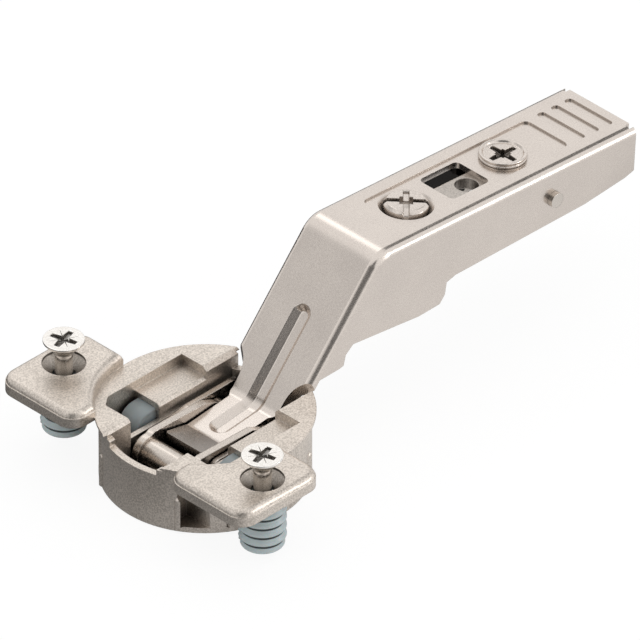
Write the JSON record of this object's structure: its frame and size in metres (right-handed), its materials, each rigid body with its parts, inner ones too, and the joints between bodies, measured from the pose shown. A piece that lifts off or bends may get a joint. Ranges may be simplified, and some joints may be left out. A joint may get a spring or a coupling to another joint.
{
  "type": "concealed cup hinge",
  "caption": "Concealed furniture hinge: damped round cup with fixing wings and expanding dowels, coupled links, and a cranked clip-on arm with side and depth adjusters.",
  "frame": {"origin": "on the cup axis in the plane of the door face, the underside of the wings", "axes": "+Z out of the cup's mouth, +X along the open arm towards its rear end, +Y along the hinge axes"},
  "size_m": [0.109, 0.0554, 0.0306],
  "materials": {
    "cast_zinc": "nickel-plated zinc die casting, satin with a fine grain",
    "arm_steel": "nickel-plated steel sheet, satin",
    "link_steel": "nickel-plated steel, satin",
    "steel_pin": "bright turned steel",
    "spring_steel": "dark spring steel",
    "screw_steel": "bright nickel-plated steel",
    "dowel_plastic": "grey-blue moulded plastic",
    "damper_plastic": "grey-blue moulded plastic"
  },
  "bodies": {
    "cup": {"hinge_cup": "cast_zinc", "front_axle": "steel_pin", "inner_pivot_left": "steel_pin", "inner_pivot_right": "steel_pin", "closing_spring": "spring_steel", "damper_left": "damper_plastic", "damper_right": "damper_plastic", "dowel_left": "dowel_plastic", "dowel_right": "dowel_plastic"},
    "outer_link": {"outer_link": "link_steel", "axle_sleeve": "link_steel"},
    "inner_link": {"inner_link_left": "link_steel", "inner_link_right": "link_steel"},
    "arm": {"hinge_arm": "arm_steel", "arm_pin_front": "steel_pin", "arm_pin_rear": "steel_pin", "latch_pin": "steel_pin"},
    "carriage": {"carriage": "cast_zinc", "hook_pin": "steel_pin"},
    "side_screw": {"side_screw": "screw_steel"},
    "depth_cam": {"depth_cam": "screw_steel"},
    "latch": {"clip_latch": "link_steel", "latch_spring": "spring_steel"},
    "pusher_left": {"damper_pusher_left": "damper_plastic"},
    "pusher_right": {"damper_pusher_right": "damper_plastic"},
    "screw_left": {"fixing_screw_left": "screw_steel"},
    "screw_right": {"fixing_screw_right": "screw_steel"}
  },
  "joints": [
    {"name": "door_fold", "type": "hinge", "parent": "cup", "child": "outer_link", "pos_m": [-0.0078, 0, -0.0065], "axis": [0, -1, 0], "range_deg": [0, 40.42]},
    {"name": "arm_turn", "type": "hinge", "parent": "outer_link", "child": "arm", "pos_m": [0.0078, 0, -0.0068], "axis": [0, -1, 0], "range_deg": [0, 53.7]},
    {"name": "inner_link_turn", "type": "hinge", "parent": "cup", "child": "inner_link", "pos_m": [-0.0036, 0, -0.00625], "axis": [0, -1, 0], "range_deg": [0, 63.7]},
    {"name": "depth_cam_turn", "type": "hinge", "parent": "arm", "child": "depth_cam", "pos_m": [0.06752, 0, 0.01659], "axis": [0.0663, 0, 0.9978], "range_deg": [-216.2, 144.2]},
    {"name": "carriage_slide", "type": "slide", "parent": "arm", "child": "carriage", "axis": [0.9978, 0, -0.0663], "range_m": [-0.003, 0.002]},
    {"name": "side_screw_turn", "type": "hinge", "parent": "arm", "child": "side_screw", "pos_m": [0.04547, 0, 0.01806], "axis": [0.0663, 0, 0.9978], "range_deg": [-360, 360]},
    {"name": "latch_turn", "type": "hinge", "parent": "arm", "child": "latch", "pos_m": [0.07063, 0, 0.01063], "axis": [0, -1, 0], "range_deg": [0, 7], "stiffness_Nm_per_rad": 0.2, "springref_deg": -17.19},
    {"name": "pusher_slide_left", "type": "slide", "parent": "cup", "child": "pusher_left", "axis": [1, 0, 0], "range_m": [0, 0.0024], "stiffness_N_per_m": 150, "springref_m": -0.0005},
    {"name": "pusher_slide_right", "type": "slide", "parent": "cup", "child": "pusher_right", "axis": [1, 0, 0], "range_m": [0, 0.0024], "stiffness_N_per_m": 150, "springref_m": -0.0005},
    {"name": "screw_drive_left", "type": "slide", "parent": "cup", "child": "screw_left", "axis": [0, 0, -1], "range_m": [0, 0.0046]},
    {"name": "screw_drive_right", "type": "slide", "parent": "cup", "child": "screw_right", "axis": [0, 0, -1], "range_m": [0, 0.0046]}
  ],
  "couplings": [
    {"joint": "arm_turn", "follows": "door_fold", "ratio": 1.3256},
    {"joint": "inner_link_turn", "follows": "door_fold", "ratio": 1.5721},
    {"joint": "depth_cam_turn", "follows": "carriage_slide", "rad_per_m": 1256.6}
  ]
}
